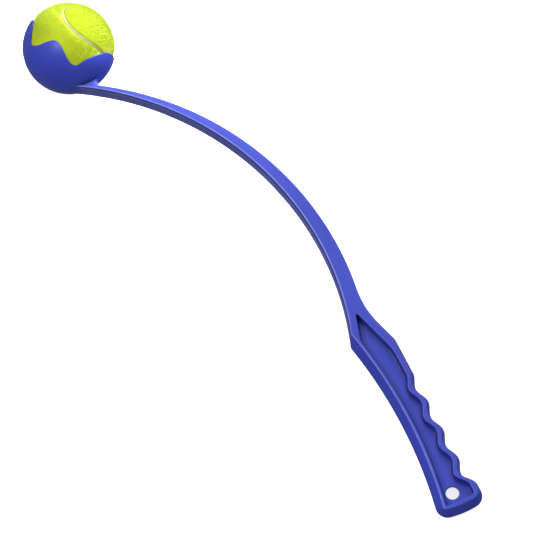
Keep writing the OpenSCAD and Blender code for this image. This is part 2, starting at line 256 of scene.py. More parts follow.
def raised(points, z):
    """Plane points at height z."""
    return np.c_[points, np.full(len(points), z)]


def run_along(points):
    """Length from the start of a line of points to each of them."""
    return np.r_[0, np.cumsum(np.linalg.norm(np.diff(points, axis=0), axis=1))]


def place_at(s, run, points):
    """The places at lengths s along a line of points."""
    return np.stack([np.interp(s, run, points[:, 0]), np.interp(s, run, points[:, 1])], axis=-1)


def round_off(t, start, corner, end):
    """Places at shares t of a curve that cuts a corner."""
    return (1 - t) ** 2 * start + 2 * t * (1 - t) * corner + t * t * end


def crossing(c0, r0, c1, r1):
    """The crossing of two circles to the right of the line between their centres."""
    d = np.linalg.norm(c1 - c0)
    u = (c1 - c0) / d
    along = (d * d + r0 * r0 - r1 * r1) / (2 * d)
    side = math.sqrt(r0 * r0 - along * along)
    return c0 + along * u + side * np.array([u[1], -u[0]])


def arc(c, r, a0, a1, n, crowd=1.0):
    """n points round a circle the short way, without the last, between two angles or the bearings of two
    points; crowd above 1 packs them at the end, below -1 at the start."""
    a0, a1 = (a if np.isscalar(a) else angle_of(a - c) for a in (a0, a1))
    a1 = a0 + (a1 - a0 + math.pi) % (2 * math.pi) - math.pi
    t = np.arange(n) / n
    a = a0 + (a1 - a0) * (t ** -crowd if crowd < 0 else 1 - (1 - t) ** crowd)
    return np.c_[c[0] + r * np.cos(a), c[1] + r * np.sin(a)]


def line(p, q, n):
    t = (np.arange(n) / n)[:, None]
    return np.asarray(p) * (1 - t) + np.asarray(q) * t


def finger_side(x):
    """Distance of the finger side from the hang hole's line."""
    wave = (1 + np.cos(2 * np.pi * (x - GROOVE_X) / GROOVE_PITCH)) / 2
    grooves = FINGER_Y - GROOVE_DEPTH * wave
    lobe = BUTT_Y - (BUTT_Y - FINGER_Y + GROOVE_DEPTH) * wave
    past_lobe = np.where(x < GROOVE_X, lobe, np.where(x < RIDGE_X, grooves, FINGER_Y))
    return np.where(x < LOBE_X, BUTT_Y, past_lobe)


def soften_corner(points, at, reach):
    """Rounds the corner at one point of a closed outline over a short reach on both sides."""
    p = np.roll(points, -at, axis=0)
    q = p[::-1]
    ahead, back = run_along(p), run_along(q) + np.linalg.norm(p[0] - p[-1])
    start, end = place_at(reach, back, q), place_at(reach, ahead, p)
    out = p.copy()
    for i in np.flatnonzero(ahead < reach):
        out[i] = round_off(0.5 + ahead[i] / (2 * reach), start, p[0], end)
    for i in np.flatnonzero(back < reach):
        out[-1 - i] = round_off(0.5 - back[i] / (2 * reach), start, p[0], end)
    return np.roll(out, at, axis=0)


def normals_of(points, closed=True):
    """Outward normals of an outline."""
    tangent = np.roll(points, -1, axis=0) - np.roll(points, 1, axis=0)
    if not closed:
        tangent[0], tangent[-1] = points[1] - points[0], points[-1] - points[-2]
    tangent = units(tangent)
    x, y = points[:, 0], points[:, 1]
    turn = np.sign(np.sum(x * np.roll(y, -1) - y * np.roll(x, -1)))
    return turn * np.c_[tangent[:, 1], -tangent[:, 0]]


def within(points, loop):
    """Which points lie inside a closed outline."""
    inside = np.zeros(len(points), bool)
    px, py = points[:, 0], points[:, 1]
    for (x0, y0), (x1, y1) in zip(loop, np.roll(loop, -1, axis=0)):
        if y0 != y1:
            inside ^= ((y0 > py) != (y1 > py)) & (px < (x1 - x0) * (py - y0) / (y1 - y0) + x0)
    return inside


def stick_outline(z, inset=0.0):
    """Outline of the handle and the arm at height z, drawn in by inset except where the cup holds it."""
    # From 0 in the middle plane to 1 at the side faces
    d = math.hypot(z / HALF_W, RIDGE_ROUND) - RIDGE_ROUND
    d = min(1.0, d / (math.hypot(1, RIDGE_ROUND) - RIDGE_ROUND))
    section = math.sqrt(CUP_OUT_R ** 2 - z * z)
    end_r = section - HELD_DEPTH
    cup_end = crossing(ARM_IN_C, ARM_IN_R, CUP_C, end_r)
    palm_r = PALM_R + PALM_CROWN * d
    crown = ARM_CROWN * (1 - (z / HALF_W) ** 2)
    corner = crossing(PALM_C, palm_r, ARM_IN_C, ARM_IN_R - crown)
    butt = np.array([BUTT_CROWN * d - BUTT_X + BUTT_ROUND_R, -BUTT_SIDE])
    pr = BUTT_PALM_R + (BUTT_EDGE_R - BUTT_PALM_R) * d
    palm_butt = crossing(PALM_C, palm_r + pr, butt, BUTT_ROUND_R - pr)
    fr = BUTT_FINGER_R - FINGER_CROWN * d
    fy = FINGER_CROWN * d - BUTT_Y + fr
    finger_butt = np.array([butt[0] - math.sqrt((BUTT_ROUND_R - fr) ** 2 - (fy + BUTT_SIDE) ** 2), fy])
    palm_turn, finger_turn = (math.pi + angle_of(butt - c) for c in (palm_butt, finger_butt))
    shoulder = np.array([SHOULDER_X, FINGER_CROWN * d - FINGER_Y])
    round_len = SHOULDER_R * math.tan(NECK_ANGLE / 2)
    shoulder_c = shoulder + [-round_len, SHOULDER_R]
    # The neck's circle touches the shoulder's slope and the arm's outer side
    start = shoulder + NECK_R * NECK_OUT - ARM_OUT_C
    b = start @ NECK_DIR
    root = math.sqrt(b * b - start @ start + (ARM_BEND_R + NECK_R) ** 2)
    neck = ARM_OUT_C + start + (-b - root if -b - root > 0 else -b + root) * NECK_DIR
    fillet = crossing(ARM_OUT_C, ARM_BEND_R + CUP_FILLET_R, CUP_C, section + CUP_FILLET_R)
    on_arm = fillet - CUP_FILLET_R * unit(fillet - ARM_OUT_C)
    on_cup = fillet - CUP_FILLET_R * unit(fillet - CUP_C)
    x = np.linspace(finger_butt[0], RIDGE_X, 131)[:-1]
    ridge = np.array([RIDGE_X, FINGER_CROWN * d - FINGER_Y])
    shoulder_end, neck_start = shoulder_c + SHOULDER_R * NECK_OUT, neck - NECK_R * NECK_OUT
    inner = arc(ARM_IN_C, 1.0, cup_end, corner, INNER_POINTS, 1.5)
    rise = np.clip(np.linspace(0, CROWN_RISE, INNER_POINTS), 0, 1)
    inner = ARM_IN_C + (inner - ARM_IN_C) * (ARM_IN_R - crown * eased(rise))[:, None]
    free = [
        inner,
        arc(PALM_C, palm_r, corner, palm_butt, 90, -1.4),
        arc(palm_butt, pr, PALM_C, palm_turn, 14),
        arc(butt, BUTT_ROUND_R, palm_turn, finger_turn, 16),
        arc(finger_butt, fr, finger_turn, 1.5 * math.pi, 14),
        np.c_[x, FINGER_CROWN * d - finger_side(x)],
        line(ridge, shoulder + [-round_len, 0], 14),
        arc(shoulder_c, SHOULDER_R, -math.pi / 2, NECK_ANGLE - math.pi / 2, 10),
        line(shoulder_end, neck_start, 12),
        arc(neck, NECK_R, NECK_ANGLE + math.pi / 2, ARM_OUT_C, 20),
        arc(ARM_OUT_C, ARM_BEND_R, neck, on_arm, 150, 1.3),
        arc(fillet, CUP_FILLET_R, on_arm, on_cup, 18),
    ]
    points = soften_corner(np.vstack(free), len(inner), PALM_CORNER)
    points = points - inset * normals_of(points, closed=False)
    spoke = points - CUP_C
    deep = np.linalg.norm(spoke, axis=1)
    points = np.where((deep < end_r)[:, None], CUP_C + spoke * (end_r / deep)[:, None], points)
    held = arc(CUP_C, end_r, points[-1], points[0], HELD_POINTS + 1)[1:]
    return np.vstack([points, held])


def pocket_outline():
    """Outline of the handle's pocket at the side face, evenly spaced."""
    palm_r = PALM_R + PALM_CROWN + PALM_WALL
    back_r = ARM_IN_R + BACK_WALL
    butt = BUTT_CROWN + BUTT_WALL - BUTT_X
    inset = FINGER_CROWN + FINGER_WALL
    rim = np.array([SHOULDER_X, FINGER_CROWN - FINGER_Y]) - NECK_WALL * NECK_OUT
    shoulder = np.array([rim[0] + (inset - FINGER_Y - rim[1]) / math.tan(NECK_ANGLE), inset - FINGER_Y])
    s = rim - ARM_IN_C
    b = s @ NECK_DIR
    apex = rim - (b + math.sqrt(b * b - s @ s + back_r ** 2)) * NECK_DIR
    corner = crossing(PALM_C, palm_r, ARM_IN_C, back_r)
    end_a = -math.pi / 2 + math.asin((butt - PALM_MID) / palm_r)
    palm_end = PALM_C + palm_r * np.array([math.cos(end_a), math.sin(end_a)])
    finger_butt = np.array([butt, inset - BUTT_Y])
    x = np.linspace(LOBE_X, RIDGE_X, 160)
    sides = [
        np.vstack([arc(PALM_C, palm_r, corner, end_a, 160), palm_end]),
        np.vstack([line(palm_end, finger_butt, 40), finger_butt]),
        np.vstack([line(finger_butt, (LOBE_X, inset - BUTT_Y), 12), np.c_[x, inset - finger_side(x)],
                   line((RIDGE_X, inset - FINGER_Y), shoulder, 30)[1:], shoulder]),
        np.vstack([line(shoulder, apex, 60), apex]),
        np.vstack([line(apex, corner, 40), corner]),
    ]
    t = np.linspace(0, 1, 15)[:, None]
    loop = []
    for i, side in enumerate(sides):
        after = sides[(i + 1) % len(sides)]
        run = run_along(side)
        first, last = POCKET_CORNERS[i - 1], run[-1] - POCKET_CORNERS[i]
        past = place_at(POCKET_CORNERS[i], run_along(after), after)
        loop += [place_at(first, run, side)[None], side[(run > first) & (run < last)],
                 round_off(t, place_at(last, run, side), side[-1], past)]
    loop = np.vstack([*loop, loop[0]])
    run = run_along(loop)
    return place_at(np.linspace(0, run[-1], POCKET_POINTS + 1)[:-1], run, loop)


def room_inside(loop, inward, most):
    """How far each point of a loop can move inward before it meets the other side."""
    tries, spare, slack, least = 24, 0.2, 0.08, 0.1
    room = np.full(len(loop), most)
    for i in range(len(loop)):
        for t in np.linspace(spare, most, tries):
            gap = np.linalg.norm(loop - (loop[i] + t * inward[i]), axis=1).min()
            if gap < t - slack:
                room[i] = max(least, t - spare)
                break
    spread = np.stack([np.roll(room, k) for k in range(-3, 4)])
    return np.minimum(room, spread.mean(0))


# Cup rim and seam paths


def rim_height(y):
    """Height of the cup's rim along the mouth's axis, at a place across the mouth."""
    lip = math.sin(LIP_REACH) * CUP_OUT_R
    edge = CUP_OUT_R + 2
    waves = [  # share of the cup's radius, height and slope
        (-0.95, lip, -0.5), (-0.62, -0.41 * ARM_DIP, -1.2), (-0.5, -0.73 * ARM_DIP, -1.9),
        (-0.33, -ARM_DIP, 0.0), (0.2, -SIDE_BUMP, 0.0), (0.6, -TIP_DIP, 0.0),
        (0.78, -0.52 * TIP_DIP, 3.9), (0.86, 0.19 * TIP_DIP, 2.2), (0.92, lip, 0.3)]
    knots = [(-edge, lip, 0.0), *((share * CUP_OUT_R, h, m) for share, h, m in waves), (edge, lip, 0.0)]
    y = np.clip(np.asarray(y, float), -edge, edge)
    out = np.zeros_like(y)
    for (x0, h0, m0), (x1, h1, m1) in zip(knots, knots[1:]):
        t = np.clip((y - x0) / (x1 - x0), 0, 1)
        s = 1 - t
        h = s * s * (1 + 2 * t) * h0 + eased(t) * h1 + s * t * (x1 - x0) * (s * m0 - t * m1)
        out = np.where((y >= x0) & (y <= x1), h, out)
    return out


def seam_path(t):
    """The seam on a ball of radius 1, and its direction."""
    main, swing = 1 - SEAM_SWING, SEAM_SWING
    high = 2 * math.sqrt(main * swing)
    p = np.c_[main * np.cos(t) + swing * np.cos(3 * t), main * np.sin(t) - swing * np.sin(3 * t),
              high * np.sin(2 * t)]
    h = np.c_[-main * np.sin(t) - 3 * swing * np.sin(3 * t), main * np.cos(t) - 3 * swing * np.cos(3 * t),
              2 * high * np.cos(2 * t)]
    return p, units(h)


def to_ball(points):
    """Points round the ball's own middle, turned as it lies in the cup."""
    return points @ np.array(BALL_TURN).T + np.r_[BALL_C, 0.0]


def in_cup(points):
    """1 where a point of the ball lies behind the cup's rim, and 0 well clear of it."""
    rel = points - CUP_MID
    out = rel[:, 0] * MOUTH[0] + rel[:, 1] * MOUTH[1]
    over = rel[:, 0] * ACROSS[0] + rel[:, 1] * ACROSS[1]
    return 1 - eased(np.clip((out - rim_height(over) - COVER_GAP) / COVER_FADE, 0, 1))


# Meshes


class Shape:
    """Points and faces of one piece, gathered ring by ring."""

    def __init__(self):
        self.points, self.faces, self.wear_and_painted_light = [], [], []
        self.count = 0

    def add(self, points, wear_and_painted_light=0.0):
        """Adds points with a shading value: above 0 on rubbed edges and painted highlights, below 0 for
        painted shade in creases.
        """
        ids = np.arange(self.count, self.count + len(points))
        self.points.append(np.asarray(points, float))
        self.wear_and_painted_light.append(np.zeros(len(points)) + wear_and_painted_light)
        self.count += len(points)
        return ids

    def bridge(self, *loops):
        """Adds faces between each closed loop and the next."""
        for a, b in zip(loops, loops[1:]):
            self.faces += zip(a, np.roll(a, -1), np.roll(b, -1), b)

    def fan(self, loop, tip):
        """Adds faces from a closed loop to one point, given by its id."""
        self.faces += [(i, j, tip) for i, j in zip(loop, np.roll(loop, -1))]

    def fill(self, loops, z):
        """Flat face at height z between an outer loop and the loops inside it, given by their point ids."""
        inside_only, close = 1, 1e-6
        every = np.vstack(self.points)
        ids = np.concatenate(loops)
        edges, first = [], 0
        for loop in loops:
            n = len(loop)
            edges += [(first + i, first + (i + 1) % n) for i in range(n)]
            first += n
        verts, _, faces, source, _, _ = delaunay_2d_cdt(
            [Vector(every[i, :2]) for i in ids], edges, [], inside_only, close)
        where = [ids[s[0]] if s else self.add([(v[0], v[1], z)])[0] for v, s in zip(verts, source)]
        flat = np.array([v[:] for v in verts])
        middles = np.array([flat[list(f)].mean(0) for f in faces])
        keep = within(middles, every[loops[0], :2])
        for loop in loops[1:]:
            keep &= ~within(middles, every[loop, :2])
        self.faces += [tuple(where[i] for i in f) for f, k in zip(faces, keep) if k]

    def mesh(self, name):
        close = 1e-7
        me = bpy.data.meshes.new(name)
        places = (np.vstack(self.points) * MM).tolist()
        me.from_pydata(places, [], [tuple(int(i) for i in f) for f in self.faces])
        wear_and_painted_light = me.attributes.new("wear_and_painted_light", "FLOAT", "POINT")
        wear_and_painted_light.data.foreach_set("value", np.concatenate(self.wear_and_painted_light).astype(np.float32))
        bm = bmesh.new()
        bm.from_mesh(me)
        bmesh.ops.remove_doubles(bm, verts=bm.verts, dist=close)
        bmesh.ops.dissolve_degenerate(bm, edges=bm.edges, dist=close)
        bmesh.ops.recalc_face_normals(bm, faces=bm.faces)
        bm.to_mesh(me)
        bm.free()
        me.polygons.foreach_set("use_smooth", [True] * len(me.polygons))
        return me


def make_object(name, me, material):
    ob = bpy.data.objects.new(name, me)
    bpy.context.scene.collection.objects.link(ob)
    me.materials.append(material)
    return ob


def settle(ob):
    """Turns the object's modifiers into its own plain mesh."""
    bpy.context.view_layer.update()
    graph = bpy.context.evaluated_depsgraph_get()
    me = bpy.data.meshes.new_from_object(
        ob.evaluated_get(graph), preserve_all_data_layers=True, depsgraph=graph)
    ob.modifiers.clear()
    ob.data = me
    return ob


def even_normals(ob):
    """Lets the large flat faces set the shading beside the roundings."""
    m = ob.modifiers.new("Even normals", "WEIGHTED_NORMAL")
    m.weight = 60
    m.keep_sharp = True
    return settle(ob)


# Materials


def feed(node, inputs):
    """Sets a node's inputs by name or number, each to a plain value or to another node's output."""
    for key, v in inputs.items():
        if hasattr(v, "is_linked"):
            node.id_data.links.new(v, node.inputs[key])
        else:
            node.inputs[key].default_value = v


def add_node(tree, kind, inputs=None, **settings):
    """A new node with its settings and inputs."""
    node = tree.nodes.new(kind)
    for key, v in settings.items():
        setattr(node, key, v)
    feed(node, inputs or {})
    return node


def new_material(name):
    """A material, its shader and the place of each point on the piece."""
    mat = bpy.data.materials.new(name)
    mat.use_nodes = True
    tree = mat.node_tree
    tree.nodes.clear()
    shader = add_node(tree, "ShaderNodeBsdfPrincipled")
    add_node(tree, "ShaderNodeOutputMaterial", {"Surface": shader.outputs["BSDF"]})
    return mat, shader, add_node(tree, "ShaderNodeTexCoord").outputs["Object"]


def noise(place, scale, detail=3.0, rough=0.5, stretch=None):
    """Soft random patches over a piece."""
    tree = place.id_data
    if stretch:
        place = add_node(tree, "ShaderNodeMapping", {"Scale": stretch, "Vector": place}).outputs["Vector"]
    inputs = {"Scale": scale, "Detail": detail, "Roughness": rough, "Vector": place}
    return add_node(tree, "ShaderNodeTexNoise", inputs).outputs["Fac"]


def ranged(value, low, high, to_low, to_high):
    """A value that runs from low to high, made to run from to_low to to_high."""
    inputs = {"Value": value, "From Min": low, "From Max": high, "To Min": to_low, "To Max": to_high}
    return add_node(value.id_data, "ShaderNodeMapRange", inputs).outputs["Result"]


def mixed(share, a, b):
    """Two colours, with the given share of the second."""
    inputs = {"Factor": share}
    for key, v in (("A", a), ("B", b)):
        inputs[key] = v if hasattr(v, "is_linked") else (*v, 1.0)
    return add_node(share.id_data, "ShaderNodeMix", inputs, data_type="RGBA").outputs["Result"]


def arith(how, a, b):
    return add_node(a.id_data, "ShaderNodeMath", {0: a, 1: b}, operation=how).outputs["Value"]


def bump(height, strength, distance, under=None):
    """Relief from a height, over another relief where one is given."""
    inputs = {"Strength": strength, "Distance": distance, "Height": height}
    if under:
        inputs["Normal"] = under
    return add_node(height.id_data, "ShaderNodeBump", inputs).outputs["Normal"]


def moulded_plastic(sizes):
    """Satin blue plastic with faint flow marks and a fine mould grain, paler edges that are partly rubbed
    and partly a painted highlight, and painted shade in the creases.
    """
    mat, shader, place = new_material("moulded_plastic")
    flow = ranged(noise(place, 14.0, 4.0, 0.55, (1.0, 2.2, 2.2)), 0.35, 0.7, 0.0, 1.0)
    colour = mixed(flow, sizes.plastic_colour, sizes.plastic_shade)
    painted_light_and_wear = add_node(mat.node_tree, "ShaderNodeAttribute", attribute_name="wear_and_painted_light").outputs["Fac"]
    scuff = ranged(noise(place, 160.0, 4.0, 0.65), 0.45, 0.75, 0.5, 1.0)
    # Paler edges: rubbed, and partly a painted highlight
    rub_and_highlight = arith("MULTIPLY", arith("MAXIMUM", painted_light_and_wear, 0.0), scuff)
    pale = tuple(min(1.0, c + 0.2) for c in sizes.plastic_colour)
    # Painted shade: values below 0 darken towards a deep blue
    painted_shade = ranged(painted_light_and_wear, 0.0, -1.0, 0.0, 0.88)
    deep = tuple(0.15 * c for c in sizes.plastic_shade)
    smooth, dull = sizes.roughness - 0.03, sizes.roughness + 0.05
    satin = ranged(noise(place, 45.0, 2.0, 0.5), 0.3, 0.7, smooth, dull)
    grain = bump(noise(place, 2600.0, 2.0, 0.5), 0.05, 0.0001)
    feed(shader, {
        "Base Color": mixed(painted_shade, mixed(rub_and_highlight, colour, pale), deep),
        "Roughness": arith("ADD", satin, arith("MULTIPLY", rub_and_highlight, 0.3)),
        "Normal": bump(noise(place, 90.0, 2.0, 0.5), 0.06, 0.0006, grain),
        "IOR": 1.5, "Specular IOR Level": 0.3})
    return mat


def napped_felt(sizes):
    """Yellow-green felt: mottled wool and fibre ends, with a soft sheen."""
    mat, shader, place = new_material("ball_felt")
    mottle = ranged(noise(place, 130.0, 5.0, 0.6), 0.3, 0.7, 0.0, 0.6)
    strands = ranged(noise(place, 1500.0, 3.0, 0.6, (1.0, 1.0, 2.4)), 0.3, 0.75, 0.0, 0.7)
    share = arith("MULTIPLY", arith("ADD", mottle, strands), 0.6)
    fluff = bump(noise(place, 900.0, 4.0, 0.65), 0.35, 0.0004)
    feed(shader, {
        "Base Color": mixed(share, sizes.felt_colour, sizes.felt_shade),
        "Normal": bump(noise(place, 180.0, 3.0, 0.5), 0.25, 0.0006, fluff),
        "Roughness": 0.95, "Specular IOR Level": 0.15, "Sheen Weight": 0.25, "Sheen Roughness": 0.5})
    return mat


def seam_rubber(sizes):
    """Pale seam cement, slightly soiled."""
    mat, shader, place = new_material("ball_seam")
    soil = ranged(noise(place, 240.0, 5.0, 0.6), 0.35, 0.75, 0.0, 0.55)
    dark = tuple(c * 0.72 for c in sizes.seam_colour)
    feed(shader, {
        "Base Color": mixed(soil, sizes.seam_colour, dark),
        "Roughness": ranged(noise(place, 400.0, 3.0, 0.6), 0.3, 0.7, 0.6, 0.8),
        "Normal": bump(noise(place, 1200.0, 3.0, 0.6), 0.3, 0.0002)})
    return mat


def core_rubber():
    """Black rubber of the ball's core, dusty and finely pitted."""
    mat, shader, place = new_material("ball_rubber")
    dust = ranged(noise(place, 220.0, 5.0, 0.6), 0.4, 0.8, 0.0, 0.5)
    feed(shader, {
        "Base Color": mixed(dust, (0.022, 0.022, 0.023), (0.07, 0.07, 0.066)),
        "Roughness": ranged(noise(place, 500.0, 3.0, 0.6), 0.3, 0.7, 0.65, 0.85),
        "Normal": bump(noise(place, 1500.0, 3.0, 0.6), 0.3, 0.0002)})
    return mat


def pale_floor(sizes):
    """Plain pale floor with a barely uneven sheen."""
    mat, shader, place = new_material("pale_floor")
    shade = tuple(c * 0.985 for c in sizes.floor_colour)
    feed(shader, {
        "Base Color": mixed(noise(place, 3.0), sizes.floor_colour, shade),
        "Roughness": 0.8, "Specular IOR Level": 0.1,
        "Emission Color": (1.0, 1.0, 1.0, 1.0), "Emission Strength": sizes.floor_glow})
    return mat


# Nap


def nap_tree():
    """Bent, tapering fibres over a felt panel, leaning at random."""
    tree = bpy.data.node_groups.new("Felt nap", "GeometryNodeTree")
    sockets = (("Geometry", "Geometry"), ("Density", "Float"), ("Length", "Float"), ("Thickness", "Float"),
               ("Lean", "Float"), ("Seed", "Int"), ("Felt", "Material"))
    for name, kind in sockets:
        tree.interface.new_socket(name, in_out="INPUT", socket_type="NodeSocket" + kind)
    tree.interface.new_socket("Geometry", in_out="OUTPUT", socket_type="NodeSocketGeometry")
    given = add_node(tree, "NodeGroupInput").outputs

    def node(kind, **inputs):
        return add_node(tree, kind, inputs)

    def named(attribute):
        n = add_node(tree, "GeometryNodeInputNamedAttribute", {"Name": attribute}, data_type="FLOAT")
        return n.outputs["Attribute"]

    def times(a, b):
        return arith("MULTIPLY", a, b)

    def chance(low, high, shift):
        r = add_node(tree, "FunctionNodeRandomValue", data_type="FLOAT")
        ends = [i for i, s in enumerate(r.inputs) if s.enabled and s.name in ("Min", "Max")]
        seed = arith("ADD", given["Seed"], shift)
        feed(r, {ends[0]: low, ends[1]: high, "Seed": seed})
        return next(s for s in r.outputs if s.enabled)

    spread = node("GeometryNodeDistributePointsOnFaces", Mesh=given["Geometry"],
                  Density=times(given["Density"], named("nap_share")), Seed=given["Seed"]).outputs

    sides, joints, curl = 3, 2, 0.45
    fibre = add_node(tree, "GeometryNodeMeshCone", {
        "Vertices": sides, "Side Segments": joints, "Radius Top": 0.0,
        "Radius Bottom": times(given["Thickness"], 0.5), "Depth": given["Length"]}, fill_type="NGON")
    where = node("GeometryNodeInputPosition").outputs["Position"]
    height = node("ShaderNodeSeparateXYZ", Vector=where).outputs["Z"]
    along = arith("DIVIDE", height, given["Length"])
    aside = node("ShaderNodeCombineXYZ", X=times(times(along, along), times(given["Length"], curl)))
    bent = node("GeometryNodeSetPosition", Geometry=fibre.outputs["Mesh"], Offset=aside.outputs["Vector"])

    size = node("ShaderNodeCombineXYZ", X=chance(0.8, 1.3, 11), Y=chance(0.8, 1.3, 12),
                Z=times(chance(0.55, 1.1, 13), named("nap_height")))
    plant = node("GeometryNodeInstanceOnPoints", Points=spread["Points"], Instance=bent.outputs["Geometry"],
                 Rotation=spread["Rotation"], Scale=size.outputs["Vector"])

    lean, back, turn = given["Lean"], times(given["Lean"], -1.0), 6.2832
    angles = node("ShaderNodeCombineXYZ", X=chance(back, lean, 14), Y=chance(back, lean, 15),
                  Z=chance(0.0, turn, 16))
    euler = node("FunctionNodeEulerToRotation", Euler=angles.outputs["Vector"])
    tilt = add_node(tree, "GeometryNodeRotateInstances", {
        "Instances": plant.outputs["Instances"], "Rotation": euler.outputs["Rotation"], "Local Space": True})

    real = node("GeometryNodeRealizeInstances", Geometry=tilt.outputs["Instances"])
    join = node("GeometryNodeJoinGeometry", Geometry=given["Geometry"])
    feed(join, {"Geometry": real.outputs["Geometry"]})
    dress = node("GeometryNodeSetMaterial", Geometry=join.outputs["Geometry"], Material=given["Felt"])
    node("NodeGroupOutput", Geometry=dress.outputs["Geometry"])
    return tree


def grow_nap(ob, tree, sizes, seed, felt):
    m = ob.modifiers.new("Nap", "NODES")
    m.node_group = tree
    ids = {s.name: s.identifier for s in tree.interface.items_tree if s.in_out == "INPUT"}
    given = {"Density": sizes.nap_per_mm2 / MM ** 2, "Length": sizes.nap_length,
             "Thickness": sizes.nap_thickness, "Lean": 0.5, "Seed": seed, "Felt": felt}
    for key, v in given.items():
        m[ids[key]] = v
    return settle(ob)


# Pieces


def arm_side(points):
    """Share of the arm's painted light bands: 1 along the arm's inner side, fading out towards the handle,
    and 0 elsewhere on an outline.
    """
    share = np.clip((points[:, 0] - BANDS_FROM) / BANDS_OVER, 0, 1)
    share[INNER_POINTS:] = 0
    return share


def stick_shape(sizes):
    """Handle and arm: the crowned sides, the rounded edges, both pockets and the hang hole."""
    shape = Shape()
    edge, lip = sizes.edge_round / MM, sizes.pocket_round / MM
    draft, foot = sizes.pocket_draft / MM, sizes.floor_round / MM
    line_h = sizes.parting_line / MM
    top = HALF_W - edge
    rows = [(-share * top, 0.0, 0.0) for share in SIDE_ROWS]
    rows += [(-0.25, 0.0, 0.0), (-0.1, -line_h, 0.0), (0.1, -line_h, 0.0), (0.25, 0.0, 0.0)]
    rows += [(-z, i, w) for z, i, w in reversed(rows[:len(SIDE_ROWS)])]
    for a in np.radians((15, 30, 45, 60, 75, 90)):
        z, inset, wear_and_painted_light = top + edge * math.sin(a), edge * (1 - math.cos(a)), math.sin(2 * a)
        rows = [(-z, inset, wear_and_painted_light), *rows, (z, inset, wear_and_painted_light)]
    rows = [(-HALF_W, edge + FACE_STEP, 0.0), *rows, (HALF_W, edge + FACE_STEP, 0.0)]
    rings = []
    for z, inset, wear_and_painted_light in rows:
        points = stick_outline(z, inset)
        # Painted light bands on the arm's inner side
        painted_bands = np.interp(abs(z) / HALF_W, *ARM_PAINTED_LIGHT) if inset <= edge else 0.0
        # Paler edges: rubbed all round, with a painted highlight on those that face the palm side
        rub_and_highlight = wear_and_painted_light * (EDGE_RUB + EDGE_HIGHLIGHT_PALM * np.clip(normals_of(points)[:, 1], 0, 1))
        rings.append(shape.add(raised(points, z), rub_and_highlight + painted_bands * arm_side(points)))
    shape.bridge(*rings)

    pocket = pocket_outline()
    inward = -normals_of(pocket)
    room = room_inside(pocket, inward, draft + foot + FLOOR_ROOM)
    room = np.minimum(room, np.linalg.norm(pocket, axis=1) - HANG_R - HANG_ROOM)
    tight = 1 - room / room.max()
    low = HALF_WEB + foot
    steps = []
    for a in np.radians((0, 18, 36, 54, 72, 90)):
        steps.append((lip * (math.sin(a) - 1), HALF_W - lip * (1 - math.cos(a)), math.sin(2 * a)))
    # Painted shade down the pocket's walls and round its floor crease
    for t in (0.2, 0.45, 0.7, 1.0):
        steps.append((draft * t, HALF_W - lip + (low - HALF_W + lip) * t, -WALL_SHADE))
    for a in np.radians((10, 25, 40, 55, 70, 80, 90)):
        steps.append((draft + foot * (1 - math.cos(a)), low - foot * math.sin(a),
                      -WALL_SHADE - FLOOR_SHADE * math.sin(a) ** 2))
    steps.append((draft + foot + FLOOR_STEP, HALF_WEB, 0.0))
    turn = full_turn(64)
    hole = np.c_[np.cos(turn), np.sin(turn)]
    bores = []
    for side, face in ((1, rings[-1]), (-1, rings[0])):
        loops, bore = [], []
        for inset, z, wear_and_painted_light in steps:
            move = np.minimum(inset, room)[:, None] * inward
            # Painted shade, deeper where the pocket is narrow; on the lip, paler edges that are rubbed and
            # carry a painted highlight where they face the palm side
            shade = wear_and_painted_light - TIGHT_SHADE * tight * (z < HALF_W - lip)
            if wear_and_painted_light > 0:
                shade = wear_and_painted_light * (LIP_RUB + LIP_HIGHLIGHT_PALM * np.clip(inward[:, 1], 0, 1))
            loops.append(shape.add(raised(pocket + move, side * z), shade))
        shape.bridge(*loops)
        shape.fill([face, loops[0]], side * HALF_W)
        for a in np.radians((0, 30, 60, 90)):
            r, z = HANG_R + HANG_ROUND * (1 - math.sin(a)), HALF_WEB - HANG_ROUND * (1 - math.cos(a))
            bore.append(shape.add(raised(r * hole, side * z), HANG_RUB * math.sin(2 * a)))
        shape.bridge(*bore)
        shape.fill([loops[-1], bore[0]], side * HALF_WEB)
        bores.append(bore[-1])
    shape.bridge(*bores)
    return shape


